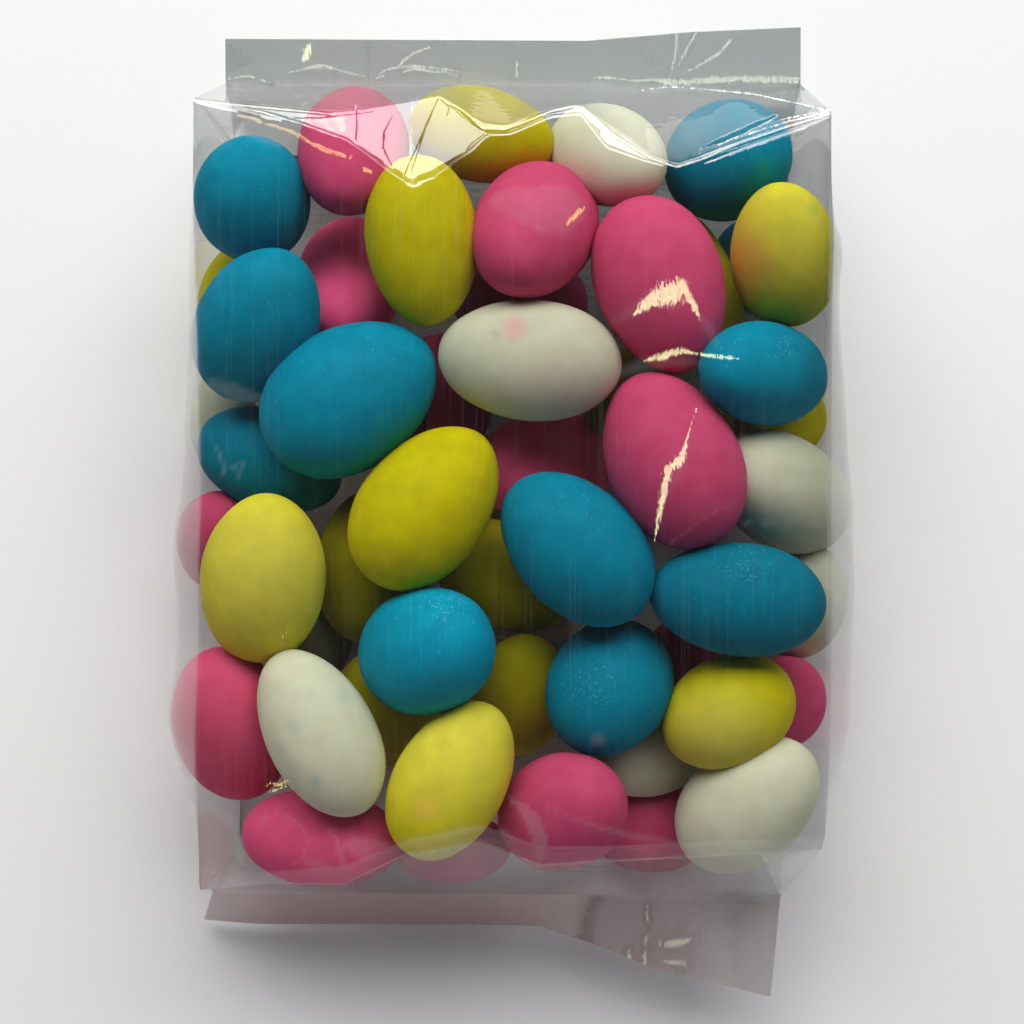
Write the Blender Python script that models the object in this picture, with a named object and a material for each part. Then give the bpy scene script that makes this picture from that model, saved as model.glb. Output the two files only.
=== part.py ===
"""A clear gusseted bag of sugared almonds, heat sealed at both ends, lying on its back.

The bag is one closed solid with the outer form of the filled film: a flat back, a front panel and two side
gussets that the almonds push out, a sloping shoulder at each end, and the two flat end seals. Metres, +Z up;
the origin is on the table under the middle of the bag, and +Y runs from the bottom seal to the top seal.
"""

import math

import bmesh
import bpy
import numpy as np

MM = 0.001

# Driving dimensions of the bag, in millimetres.
PANEL_WIDTH = 88.0
GUSSET_HEIGHT = 35.0
TABLE = 0.0
SEAL_THICKNESS = 1.0
PANEL_CROWN = 0.6
FACET_LEAN = math.radians(24)
BACK_HEM = 1.0
SHOULDER_FOLD = 7.0
FILM_GAP = 0.35

# The almonds: the usual length, the thickness over the width, and the length over the width at least and at
# most. None of them leans more than the steepest tilt, rises over the lid or reaches past the sides.
ALMOND_LENGTH = 25.5
ALMOND_FLATNESS = 0.92
STOUTEST, SLIMMEST = 1.05, 1.5
STEEPEST_TILT = math.radians(48)
LID_HEIGHT = 37.2
SIDE_REACH = 49.7

# The film's grid: spans across a panel, up a gusset, and along each stretch of the bag.
PANEL_SPANS = 34
GUSSET_SPANS = 8
SEAL_ROWS = 3
SHOULDER_ROWS = 4
FACET_ROWS = 1
BODY_ROWS = 34

# The places of the almonds are read on a picture from straight above: its middle, the height of the eye over
# the table, and how many picture units the eye sees for a slope of one.
PICTURE_MIDDLE = 512.0
EYE_HEIGHT = 255.0
EYE_SCALE = 1595.0

# Each almond that shows: its middle in the picture, its length and width there, the turn of its long axis from
# +X in degrees, and the height of its middle over the table in millimetres.
UPPER_ALMONDS = [
    (252, 199, 128, 116, 100, 24.0),
    (353, 151, 130, 112, 80, 21.5),
    (422, 241, 172, 114, 96, 27.5),
    (492, 135, 135, 96, -12, 20.5),
    (534, 230, 142, 124, 60, 26.0),
    (607, 155, 124, 102, -18, 22.0),
    (728, 160, 134, 118, 15, 22.5),
    (660, 284, 182, 130, 108, 27.5),
    (780, 256, 150, 104, 92, 25.5),
    (257, 325, 160, 124, 68, 21.5),
    (349, 398, 190, 144, 32, 27.0),
    (530, 360, 184, 122, -4, 27.5),
    (673, 460, 186, 134, 115, 27.0),
    (763, 373, 130, 104, -8, 24.0),
    (782, 491, 150, 112, -35, 19.0),
    (425, 507, 184, 128, 52, 27.5),
    (579, 550, 180, 126, -45, 27.5),
    (738, 599, 178, 114, -6, 26.5),
    (263, 578, 170, 126, 85, 26.5),
    (427, 651, 146, 128, 20, 27.5),
    (609, 688, 142, 124, 60, 25.0),
    (729, 712, 138, 106, 26, 26.0),
    (320, 733, 180, 110, -62, 27.5),
    (451, 780, 172, 112, 60, 27.0),
    (231, 723, 156, 118, 105, 18.0),
    (322, 838, 160, 96, -8, 20.5),
    (563, 812, 132, 118, 20, 23.0),
    (748, 804, 162, 118, 38, 23.5),
]
LOWER_ALMONDS = [
    (350, 282, 140, 106, 90, 10.0),
    (520, 300, 140, 106, 0, 9.5),
    (440, 400, 140, 106, 90, 9.5),
    (545, 465, 150, 106, 10, 10.0),
    (270, 458, 150, 100, -20, 12.0),
    (215, 537, 120, 92, 90, 11.0),
    (222, 422, 120, 80, 80, 8.5),
    (218, 285, 120, 90, 60, 8.5),
    (362, 570, 150, 100, 85, 10.0),
    (505, 575, 150, 106, -25, 10.5),
    (395, 730, 130, 100, 90, 9.5),
    (520, 695, 130, 96, 80, 10.0),
    (650, 752, 130, 96, 10, 10.0),
    (655, 825, 130, 90, 0, 9.0),
    (782, 702, 120, 92, 90, 10.0),
    (805, 600, 130, 92, 70, 10.0),
    (768, 425, 118, 90, 20, 9.5),
    (700, 290, 130, 92, 110, 10.5),
    (745, 258, 130, 92, 75, 8.5),
    (452, 850, 120, 70, 0, 11.0),
    (310, 640, 120, 90, 30, 9.0),
]

# Where the front panel turns down, as the film lies in picture units at the height of the panel: the fold that
# begins the turn, and the fold where the shoulder starts. Between them lies a facet that leans outwards.
PANEL_UNITS_PER_MM = 7.25
TOP_TURN = [(193, 101), (300, 139), (345, 159), (412, 187), (470, 152), (495, 131), (578, 112), (606, 150),
            (672, 166), (832, 112)]
TOP_FOLD = [(193, 97), (300, 103), (365, 105), (440, 97), (495, 128), (578, 104), (672, 161), (832, 108)]
BOTTOM_TURN = [(196, 884), (267, 874), (344, 868), (405, 842), (480, 826), (540, 848), (600, 848), (827, 838)]
BOTTOM_FOLD = [(196, 890), (267, 883), (344, 884), (405, 853), (480, 839), (540, 864), (600, 860), (827, 848)]

# Along the front panel's edges: how far each one stands in from half the width, and how far it sags.
PANEL_EDGE_Y = [-52.0, -33.0, 2.0, 38.0, 57.0]
LEFT_WAIST = [0.4, 0.8, 1.7, 0.6, 0.0]
RIGHT_WAIST = [0.6, 0.4, 0.6, 0.1, -0.2]
EDGE_SAG = [2.5, 0.4, 0.0, 0.0, 0.8]

# Along the side gussets: how far the almonds bow them out. At the shoulders they fold in instead.
GUSSET_Y = [-52.0, -44.0, -31.0, -6.0, 14.0, 38.0, 49.0, 57.0]
LEFT_GUSSET_OUT = [-1.0, 3.4, 6.4, 6.2, 4.4, 3.0, 1.3, -1.0]
RIGHT_GUSSET_OUT = [-1.0, 3.4, 6.0, 5.9, 4.9, 3.4, 1.3, -1.0]

# Points on the end seals as (x, y, z) of their middle, from left to right: their roots and their cut ends. The
# left half of the bottom seal hangs down to the table.
TOP_SEAL_ROOT = [(-42.7, 63.9, 17.0), (43.0, 63.7, 17.0)]
TOP_SEAL_END = [(-42.3, 69.8, 19.5), (11.0, 69.5, 19.5), (26.5, 70.8, 19.5), (42.6, 71.5, 19.5)]
BOTTOM_SEAL_ROOT = [(-45.3, -57.4, 13.5), (40.6, -58.2, 13.5)]
BOTTOM_SEAL_END = [(-48.8, -64.6, 2.0), (-40.0, -65.3, 2.0), (-6.0, -65.2, 2.6), (4.4, -64.8, 5.0),
                   (13.7, -67.3, 7.5), (22.0, -70.3, 9.5), (39.3, -73.7, 12.3)]

# How the almonds settle: how far two that press each other move apart in a step, how freely along x, y and z,
# and how strongly each is held on its line of sight and at its height.
SETTLING_STEPS = 240
GIVE = 0.22
SLIDE = [0.4, 0.4, 1.0]
HOLD_IN_SIGHT = 0.06
HOLD_HEIGHT = 0.015

# How the film is drawn over the almonds: the pull of its neighbours and of its own shape in a step.
TIGHTENING_STEPS = 80
TENSION = 0.5
STIFFNESS = 0.015


def clear_scene():
    """Removes the objects of the file that the script starts in."""
    for old in list(bpy.data.objects):
        bpy.data.objects.remove(old, do_unlink=True)


def almond(seen):
    """One almond from how it is seen: its middle, long axis, half length and half width. Its higher end is the
    one that points to the middle of the bag."""
    across, down, length, width, turn, height = seen
    reach = (EYE_HEIGHT - height) / EYE_SCALE
    middle = [(across - PICTURE_MIDDLE) * reach, (PICTURE_MIDDLE - down) * reach, height]
    shown, wide = length * reach, width * reach
    long = max(min(ALMOND_LENGTH, SLIMMEST * wide), shown)
    share = (shown**2 - wide**2) / max(long**2 - wide**2, 1e-6)
    tilt = math.acos(math.sqrt(min(max(share, 0.0), 1.0)))
    if tilt > STEEPEST_TILT:
        tilt = STEEPEST_TILT
        long = math.sqrt(max(shown**2 - (wide * math.sin(tilt)) ** 2, 0.0)) / math.cos(tilt)
    turn = math.radians(turn)
    if middle[0] * math.cos(turn) + middle[1] * math.sin(turn) > 0:
        turn += math.pi
    axis = [math.cos(turn) * math.cos(tilt), math.sin(turn) * math.cos(tilt), math.sin(tilt)]
    return middle, axis, long / 2, wide / 2


def beads_of(axis, half_long, half_wide):
    """Five balls along each almond that fill it: their offsets from its middle and their radii."""
    focus = half_long**2 - half_wide**2
    steps = np.array([-1.0, -0.5, 0.0, 0.5, 1.0]) * (focus / half_long)[:, None]
    radii = half_wide[:, None] * np.sqrt(1 - steps**2 / focus[:, None])
    return steps[:, :, None] * axis[:, None, :], radii


def settle(seen_almonds):
    """Moves almonds that press into each other apart, mostly up and down, and keeps them inside the bag. Each one
    stays close to the line of sight on which it is seen."""
    middle, axis, half_long, half_wide = (np.array(column, float) for column in zip(*map(almond, seen_almonds)))
    half_long = np.maximum(half_long, half_wide * STOUTEST)
    offsets, radii = beads_of(axis, half_long, half_wide)
    radii = radii * (1 + ALMOND_FLATNESS) / 2
    owner = np.repeat(np.arange(len(middle)), radii.shape[1])
    apart = owner[:, None] != owner[None, :]
    size = radii.ravel()
    rise = np.abs(offsets[:, :, 2] + radii).max(axis=1)
    reach = np.abs(offsets[:, :, 0] + np.sign(middle[:, :1]) * radii).max(axis=1)
    home = middle[:, 2].copy()
    sight = middle[:, :2] / (EYE_HEIGHT - home)[:, None]
    for _ in range(SETTLING_STEPS):
        beads = (middle[:, None, :] + offsets).reshape(-1, 3)
        between = beads[:, None, :] - beads[None, :, :]
        distance = np.linalg.norm(between, axis=2) + 1e-9
        press = np.where(apart, np.maximum(size[:, None] + size[None, :] - distance, 0.0), 0.0)
        push = (between / distance[:, :, None] * press[:, :, None]).sum(axis=1)
        moved = np.zeros_like(middle)
        np.add.at(moved, owner, push)
        middle += GIVE * moved * SLIDE
        middle[:, :2] += HOLD_IN_SIGHT * (sight * (EYE_HEIGHT - middle[:, 2:]) - middle[:, :2])
        middle[:, 2] += HOLD_HEIGHT * (home - middle[:, 2])
        middle[:, 2] = np.clip(middle[:, 2], TABLE + FILM_GAP + rise, LID_HEIGHT - rise)
        middle[:, 0] = np.clip(middle[:, 0], reach - SIDE_REACH, SIDE_REACH - reach)
    return middle, axis, half_long, half_wide


def frames(axis):
    """For each almond, its long, wide and flat directions as the rows of a matrix."""
    up = np.tile([0.0, 0.0, 1.0], (len(axis), 1))
    wide = np.cross(up, axis)
    wide /= np.linalg.norm(wide, axis=1)[:, None]
    return np.stack([axis, wide, np.cross(axis, wide)], axis=1)


def folded(points, x):
    """A fold line of the front panel, as the y of the film at each x, in millimetres."""
    across = [(a - PICTURE_MIDDLE) / PANEL_UNITS_PER_MM for a, _ in points]
    along = [(PICTURE_MIDDLE - b) / PANEL_UNITS_PER_MM for _, b in points]
    return np.interp(x, across, along)


def edges(y):
    """The x of the panel's left and right edges and their height, at each y."""
    left = -PANEL_WIDTH / 2 + np.interp(y, PANEL_EDGE_Y, LEFT_WAIST)
    right = PANEL_WIDTH / 2 - np.interp(y, PANEL_EDGE_Y, RIGHT_WAIST)
    return left, right, GUSSET_HEIGHT - np.interp(y, PANEL_EDGE_Y, EDGE_SAG)


def row(x, y, z):
    return np.stack([x, np.broadcast_to(y, x.shape), np.broadcast_to(z, x.shape)], axis=-1)


def seal_row(points, t, side):
    """A row across one face of an end seal, through its points, at shares t of its width."""
    across, along, height = np.array(points).T
    x = across[0] + (across[-1] - across[0]) * t
    return row(x, np.interp(x, across, along), np.interp(x, across, height) + side * SEAL_THICKNESS / 2)


def crowned(t):
    """How far a panel bulges at shares t of its width: 0 at its edges, 1 in the middle."""
    return 1 - (2 * t - 1) ** 4


def panel_rows(t):
    """The key rows of the front panel and of the back panel, from the bottom seal's tip to the top seal's."""
    low_y, high_y = PANEL_EDGE_Y[0], PANEL_EDGE_Y[-1]
    low_left, low_right, low_height = edges(low_y)
    high_left, high_right, high_height = edges(high_y)
    low_x = low_left + (low_right - low_left) * t
    high_x = high_left + (high_right - high_left) * t
    crown = PANEL_CROWN * crowned(t)
    low_turn, low_fold = folded(BOTTOM_TURN, low_x), folded(BOTTOM_FOLD, low_x)
    high_turn, high_fold = folded(TOP_TURN, high_x), folded(TOP_FOLD, high_x)
    lean = math.tan(FACET_LEAN)
    front = [
        seal_row(BOTTOM_SEAL_END, t, 1),
        seal_row(BOTTOM_SEAL_ROOT, t, 1),
        row(low_x, low_fold, low_height + crown - lean * (low_turn - low_fold)),
        row(low_x, low_turn, low_height + crown),
        row(high_x, high_turn, high_height + crown),
        row(high_x, high_fold, high_height + crown - lean * (high_fold - high_turn)),
        seal_row(TOP_SEAL_ROOT, t, 1),
        seal_row(TOP_SEAL_END, t, 1),
    ]
    back = [
        seal_row(BOTTOM_SEAL_END, t, -1),
        seal_row(BOTTOM_SEAL_ROOT, t, -1),
        row(low_x, low_y, TABLE),
        row(low_x, low_y + BACK_HEM, TABLE),
        row(high_x, high_y - BACK_HEM, TABLE),
        row(high_x, high_y, TABLE),
        seal_row(TOP_SEAL_ROOT, t, -1),
        seal_row(TOP_SEAL_END, t, -1),
    ]
    return front, back


def between_rows(keys, counts):
    """The key rows with evenly spaced rows between them, and for each row its place among the keys."""
    rows, places = [], []
    for i, count in enumerate(counts):
        for step in range(count):
            share = step / count
            rows.append(keys[i] * (1 - share) + keys[i + 1] * share)
            places.append(i + share)
    return np.array(rows + [keys[-1]]), np.array(places + [len(counts)])


def shape_panel(panel, t, rows, height_of):
    """Gives some rows of a panel its waisted edges and its height."""
    left, right, height = edges(panel[rows, :, 1])
    panel[rows, :, 0] = left + (right - left) * t
    panel[rows, :, 2] = height_of(height)


def gusset(front_edge, back_edge, side, out, places):
    """The film of one side, from one panel's edge to the other's: bowed out along the body, folded in like a V at
    the shoulders."""
    share = np.linspace(0, 1, GUSSET_SPANS + 1)[1:-1]
    sheet = front_edge[:, None, :] * (1 - share[:, None]) + back_edge[:, None, :] * share[:, None]
    middle_y = (front_edge[:, 1] + back_edge[:, 1]) / 2
    bow = np.interp(middle_y, GUSSET_Y, out)[:, None] * (1 - (2 * share - 1) ** 2)
    fold = np.interp(places, [1, 1.5, 2, 5, 5.5, 6], [0, 1, 0, 0, 1, 0])[:, None] * (1 - np.abs(2 * share - 1))
    in_body = ((places >= 2) & (places <= 5))[:, None]
    sheet[:, :, 0] += side * np.where(in_body, bow, -SHOULDER_FOLD * fold)
    return sheet


def film_grid():
    """The film before the almonds press on it: rows along the bag, columns round it, and what may move."""
    t = np.linspace(0, 1, PANEL_SPANS + 1)
    counts = [SEAL_ROWS, SHOULDER_ROWS, FACET_ROWS, BODY_ROWS, FACET_ROWS, SHOULDER_ROWS, SEAL_ROWS]
    front_keys, back_keys = panel_rows(t)
    front, places = between_rows(front_keys, counts)
    back, _ = between_rows(back_keys, counts)
    shape_panel(front, t, (places >= 3) & (places <= 4), lambda height: height + PANEL_CROWN * crowned(t))
    shape_panel(back, t, (places >= 2) & (places <= 5), lambda height: TABLE)
    right = gusset(front[:, -1], back[:, -1], 1, RIGHT_GUSSET_OUT, places)
    left = gusset(back[:, 0], front[:, 0], -1, LEFT_GUSSET_OUT, places)
    grid = np.concatenate([front, right, back[:, ::-1], left], axis=1)
    columns = np.arange(grid.shape[1])
    back_starts = PANEL_SPANS + GUSSET_SPANS
    on_back = (columns >= back_starts) & (columns <= back_starts + PANEL_SPANS)
    in_seal = (places <= 1) | (places >= 6)
    return grid, ~in_seal[:, None] & ~on_back[None, :]


def draw_tight(grid, free, almonds):
    """Lets the almonds push the film out, with the film drawn evenly over them."""
    middle, axis, half_long, half_wide = almonds
    radii = np.stack([half_long, half_wide, half_wide * ALMOND_FLATNESS], axis=1) + FILM_GAP
    film = grid.copy()
    for _ in range(TIGHTENING_STEPS):
        lift = film - grid
        round_the_bag = np.roll(lift, 1, axis=1) + np.roll(lift, -1, axis=1)
        along = np.concatenate([lift[:1], lift[:-1]]) + np.concatenate([lift[1:], lift[-1:]])
        film += free[:, :, None] * (TENSION * ((round_the_bag + along) / 4 - lift) - STIFFNESS * lift)
        for centre, turn, radius in zip(middle, frames(axis), radii):
            depth = np.linalg.norm((film - centre) @ turn.T / radius, axis=2)
            pressed = (depth < 1) & free
            film[pressed] = centre + (film[pressed] - centre) / depth[pressed][:, None]
    return film


def bag_mesh(film):
    """The film's grid as one closed mesh, with each seal's end filled from edge to edge."""
    rows, columns = film.shape[:2]
    mesh = bmesh.new()
    verts = [[mesh.verts.new(point * MM) for point in line] for line in film]
    for lower, upper in zip(verts, verts[1:]):
        for i in range(columns):
            j = (i + 1) % columns
            mesh.faces.new([lower[i], lower[j], upper[j], upper[i]])
    back_right = PANEL_SPANS + GUSSET_SPANS
    back_left = back_right + PANEL_SPANS
    for end in (verts[0], verts[-1]):
        mesh.faces.new(end[:2] + end[back_left - 1:])
        for i in range(1, PANEL_SPANS - 1):
            mesh.faces.new([end[i], end[i + 1], end[back_left - i - 1], end[back_left - i]])
        mesh.faces.new(end[PANEL_SPANS - 1:back_right + 2])
    bmesh.ops.recalc_face_normals(mesh, faces=mesh.faces)
    return mesh


def clear_film():
    """Clear polypropylene film with the colours of the almonds under it."""
    material = bpy.data.materials.new("clear_film_over_almonds")
    material.use_nodes = True
    shader = material.node_tree.nodes["Principled BSDF"]
    shader.inputs["Base Color"].default_value = (0.62, 0.58, 0.60, 1.0)
    shader.inputs["Roughness"].default_value = 0.12
    shader.inputs["Metallic"].default_value = 0.0
    return material


def make_bag():
    """The bag as one object, with its origin under the middle of the bag."""
    almonds = settle(UPPER_ALMONDS + LOWER_ALMONDS)
    film = draw_tight(*film_grid(), almonds)
    middle_y = (BOTTOM_SEAL_END[-1][1] + TOP_SEAL_END[-1][1]) / 2
    mesh = bag_mesh(film - [0.0, middle_y, 0.0])
    data = bpy.data.meshes.new("bag")
    mesh.to_mesh(data)
    mesh.free()
    data.materials.append(clear_film())
    data.shade_smooth()
    data.set_sharp_from_angle(angle=math.radians(40))
    bpy.context.scene.collection.objects.link(bpy.data.objects.new("bag", data))


clear_scene()
make_bag()
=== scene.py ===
"""Sugared almonds in a clear gusseted bag that is heat sealed at both ends and lies on its back: the
almonds, the film drawn over them, the floor, the light and the camera. Metres, +Z up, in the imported
model's frame."""

import math

import bmesh
import bpy
import numpy as np
from mathutils import Matrix, Vector, noise


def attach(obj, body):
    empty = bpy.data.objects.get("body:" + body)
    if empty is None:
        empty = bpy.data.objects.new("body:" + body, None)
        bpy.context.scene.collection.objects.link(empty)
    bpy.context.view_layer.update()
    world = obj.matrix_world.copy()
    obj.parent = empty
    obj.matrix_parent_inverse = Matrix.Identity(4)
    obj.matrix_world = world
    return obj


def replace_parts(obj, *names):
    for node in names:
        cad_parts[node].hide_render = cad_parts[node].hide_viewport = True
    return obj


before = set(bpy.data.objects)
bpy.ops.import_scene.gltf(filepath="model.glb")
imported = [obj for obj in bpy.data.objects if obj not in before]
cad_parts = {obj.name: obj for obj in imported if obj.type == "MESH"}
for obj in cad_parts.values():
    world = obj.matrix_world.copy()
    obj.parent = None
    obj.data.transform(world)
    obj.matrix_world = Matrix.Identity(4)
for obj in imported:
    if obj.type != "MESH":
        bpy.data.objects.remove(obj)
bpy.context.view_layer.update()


# The sugared almonds: whole almonds in a hard shell of coloured sugar, tumbled in a pan until they are
# smooth, egg shaped and slightly uneven. They lie loose in the bag, two or three deep, and the film
# presses them together.

MM = 0.001
BAG_MIDDLE_Y = -1.1  # the bag's middle on the picture's axis, in millimetres

# The places are read on a picture from straight above: its middle, the height of the eye over the table
# in millimetres, and how many picture units the eye sees for a slope of one.
PICTURE_MIDDLE = 512.0
EYE_HEIGHT = 255.0
EYE_SCALE = 1595.0

# Each almond: its middle in the picture, its length and width there, the turn of its long axis from +X
# in degrees, the height of its middle over the table in millimetres, its colour, its tone from dark to
# light, and how much narrower its far end is. The tone is partly a random difference between the shells
# and partly painted shade and painted light: many almonds, most of all the shaded ones of the lower
# layer, are darkened or lightened to stand in for how the light falls on them. The upper layer comes first.
ALMONDS = [
    (252, 199, 128, 116, 100, 22.5, "blue", 0.14, 0.04),
    (353, 151, 130, 112, 80, 21.5, "pink", 0.05, 0.03),
    (422, 241, 172, 114, 96, 27.5, "yellow", 0.00, 0.08),
    (482, 135, 148, 96, -12, 20.5, "yellow", -0.02, 0.05),
    (534, 230, 142, 124, 60, 26.0, "pink", 0.0, 0.05),
    (607, 155, 124, 102, -18, 22.0, "white", 0.30, 0.04),
    (728, 160, 132, 119, 30, 20.0, "blue", 0.04, 0.03),
    (660, 284, 182, 130, 108, 27.5, "pink", 0.06, 0.08),
    (785, 255, 146, 110, 94, 23.5, "yellow", 0.24, 0.05),
    (257, 325, 160, 124, 68, 21.5, "blue", 0.03, 0.05),
    (349, 398, 190, 144, 32, 27.0, "blue", 0.04, 0.08),
    (530, 360, 184, 122, -4, 27.5, "white", 0.06, 0.04),
    (673, 460, 186, 134, 115, 27.0, "pink", 0.0, 0.08),
    (763, 373, 130, 104, -8, 25.5, "blue", 0.07, 0.03),
    (782, 491, 150, 112, -35, 16.5, "white", 0.16, 0.04),
    (425, 507, 184, 128, 52, 27.5, "yellow", 0.14, 0.08),
    (577, 548, 180, 126, -45, 27.5, "blue", -0.05, 0.06),
    (738, 599, 178, 114, -6, 26.5, "blue", -0.26, 0.05),
    (263, 578, 170, 126, 85, 26.5, "yellow", 0.32, 0.04),
    (427, 651, 139, 128, 20, 27.5, "blue", 0.32, 0.03),
    (609, 688, 142, 124, 60, 19.0, "blue", -0.15, 0.03),
    (728, 712, 139, 112, 26, 15.0, "yellow", 0.08, 0.04),
    (320, 733, 180, 110, -62, 27.5, "white", 0.20, 0.05),
    (451, 780, 172, 112, 60, 27.0, "yellow", 0.36, 0.06),
    (231, 723, 156, 118, 105, 18.0, "pink", 0.38, 0.04),
    (322, 838, 160, 98, -4, 20.5, "pink", 0.20, 0.04),
    (563, 812, 132, 118, 20, 23.0, "pink", 0.0, 0.04),
    (748, 804, 162, 118, 39, 16.0, "white", 0.22, 0.05),
    (350, 282, 140, 106, 90, 10.0, "pink", 1.00, 0.04),
    (520, 300, 140, 106, 0, 9.5, "pink", -0.10, 0.04),
    (440, 400, 140, 106, 90, 9.5, "pink", -0.30, 0.04),
    (545, 465, 150, 106, 10, 10.0, "pink", 1.30, 0.04),
    (270, 458, 150, 100, -20, 16.0, "blue", -0.10, 0.04),
    (221, 542, 106, 90, 90, 11.0, "pink", 0.05, 0.04),
    (224, 418, 104, 66, 80, 11.0, "white", 0.05, 0.04),
    (249, 294, 120, 92, 70, 8.5, "yellow", 0.10, 0.04),
    (362, 570, 150, 100, 85, 10.0, "yellow", -0.45, 0.04),
    (505, 575, 150, 106, -25, 10.5, "yellow", 0.12, 0.04),
    (388, 706, 126, 104, 100, 9.0, "yellow", -0.20, 0.04),
    (520, 695, 130, 96, 80, 10.0, "yellow", -0.05, 0.04),
    (650, 752, 130, 96, 10, 10.0, "white", 0.0, 0.04),
    (655, 821, 130, 90, 0, 10.0, "pink", -0.05, 0.04),
    (784, 702, 100, 84, 90, 8.5, "pink", 0.25, 0.04),
    (803, 600, 118, 86, 80, 11.0, "white", 0.10, 0.04),
    (768, 425, 128, 92, 12, 9.0, "yellow", 0.10, 0.04),
    (702, 288, 172, 84, 112, 14.0, "yellow", -0.25, 0.04),
    (748, 268, 104, 84, 90, 6.5, "blue", -0.05, 0.04),
    (452, 847, 120, 70, 0, 12.0, "pink", 0.05, 0.04),
    (312, 642, 118, 84, 50, 6.5, "white", -0.60, 0.04),
    (632, 392, 112, 86, 40, 8.0, "yellow", -0.40, 0.04),
    (692, 656, 106, 84, 20, 7.5, "pink", 0.0, 0.04),
]

# The usual length in millimetres, that of shorter ones by their place in the list, those whose higher end
# points out of the bag, the thickness over the width, the length over the width at least and at most, and
# the steepest lean. Then, in millimetres, the table, how high and how far to the sides the almonds reach,
# and the room that the film leaves round them.
ALMOND_LENGTH = 25.5
SHORT_ALMONDS = {20: 21.5, 21: 20.8}
LEANING_OUT = {0, 6, 8, 9, 20}
ALMOND_FLATNESS = 0.92
STOUTEST, SLIMMEST = 1.05, 1.5
STEEPEST_TILT = math.radians(48)
TABLE, LID_HEIGHT, SIDE_REACH, FILM_GAP = 0.0, 36.1, 51.0, 0.35

# How the almonds settle: how far two that press each other move apart in a step, how freely along x, y and z,
# and how strongly each is held on its line of sight and at its height.
SETTLING_STEPS = 240
GIVE = 0.22
SLIDE = [0.4, 0.4, 1.0]
HOLD_IN_SIGHT = 0.06
HOLD_HEIGHT = 0.015

# How the outlines are then trimmed: the almonds of the upper layer, the points on each that are looked
# at, the steps, and the share of what is missing that a step makes good.
UPPER_LAYER = 28
OUTLINE_POINTS = 900
TRIMMING_STEPS = 8
TRIM = 0.7


def almond(number, seen):
    """One almond from how it is seen: its middle, long axis, half length and half width. Its higher end is
    mostly the one that points to the middle of the bag."""
    across, down, length, width, turn, height = seen[:6]
    reach = (EYE_HEIGHT - height) / EYE_SCALE
    middle = [(across - PICTURE_MIDDLE) * reach, (PICTURE_MIDDLE - down) * reach, height]
    shown, wide = length * reach, width * reach
    long = max(min(SHORT_ALMONDS.get(number, ALMOND_LENGTH), SLIMMEST * wide), shown)
    share = (shown**2 - wide**2) / max(long**2 - wide**2, 1e-6)
    tilt = math.acos(math.sqrt(min(max(share, 0.0), 1.0)))
    if tilt > STEEPEST_TILT:
        tilt = STEEPEST_TILT
        long = math.sqrt(max(shown**2 - (wide * math.sin(tilt)) ** 2, 0.0)) / math.cos(tilt)
    turn = math.radians(turn)
    if (middle[0] * math.cos(turn) + middle[1] * math.sin(turn) > 0) != (number in LEANING_OUT):
        turn += math.pi
    axis = [math.cos(turn) * math.cos(tilt), math.sin(turn) * math.cos(tilt), math.sin(tilt)]
    return middle, axis, long / 2, wide / 2


def beads_of(axis, half_long, half_wide):
    """Five balls along each almond that fill it: their offsets from its middle and their radii."""
    focus = half_long**2 - half_wide**2
    steps = np.array([-1.0, -0.5, 0.0, 0.5, 1.0]) * (focus / half_long)[:, None]
    radii = half_wide[:, None] * np.sqrt(1 - steps**2 / focus[:, None])
    return steps[:, :, None] * axis[:, None, :], radii


def settle(seen_almonds):
    """Moves almonds that press into each other apart, mostly up and down, and keeps them inside the bag.
    Each one stays close to the line of sight on which it is seen."""
    columns = zip(*(almond(number, seen) for number, seen in enumerate(seen_almonds)))
    middle, axis, half_long, half_wide = (np.array(column, float) for column in columns)
    half_long = np.maximum(half_long, half_wide * STOUTEST)
    offsets, radii = beads_of(axis, half_long, half_wide)
    radii = radii * (1 + ALMOND_FLATNESS) / 2
    owner = np.repeat(np.arange(len(middle)), radii.shape[1])
    apart = owner[:, None] != owner[None, :]
    size = radii.ravel()
    rise = np.hypot(half_long * axis[:, 2], half_wide * ALMOND_FLATNESS * np.sqrt(1 - axis[:, 2] ** 2))
    reach = np.abs(offsets[:, :, 0] + np.sign(middle[:, :1]) * radii).max(axis=1)
    home = middle[:, 2].copy()
    sight = middle[:, :2] / (EYE_HEIGHT - home)[:, None]
    for _ in range(SETTLING_STEPS):
        beads = (middle[:, None, :] + offsets).reshape(-1, 3)
        between = beads[:, None, :] - beads[None, :, :]
        distance = np.linalg.norm(between, axis=2) + 1e-9
        press = np.where(apart, np.maximum(size[:, None] + size[None, :] - distance, 0.0), 0.0)
        push = (between / distance[:, :, None] * press[:, :, None]).sum(axis=1)
        moved = np.zeros_like(middle)
        np.add.at(moved, owner, push)
        middle += GIVE * moved * SLIDE
        middle[:, :2] += HOLD_IN_SIGHT * (sight * (EYE_HEIGHT - middle[:, 2:]) - middle[:, :2])
        middle[:, 2] += HOLD_HEIGHT * (home - middle[:, 2])
        middle[:, 2] = np.clip(middle[:, 2], TABLE + FILM_GAP + rise, LID_HEIGHT - rise)
        middle[:, 0] = np.clip(middle[:, 0], reach - SIDE_REACH, SIDE_REACH - reach)
    return middle, axis, half_long, half_wide


def frames(axis):
    """For each almond, its long, wide and flat directions as the rows of a matrix."""
    up = np.tile([0.0, 0.0, 1.0], (len(axis), 1))
    wide = np.cross(up, axis)
    wide /= np.linalg.norm(wide, axis=1)[:, None]
    return np.stack([axis, wide, np.cross(axis, wide)], axis=1)


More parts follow.
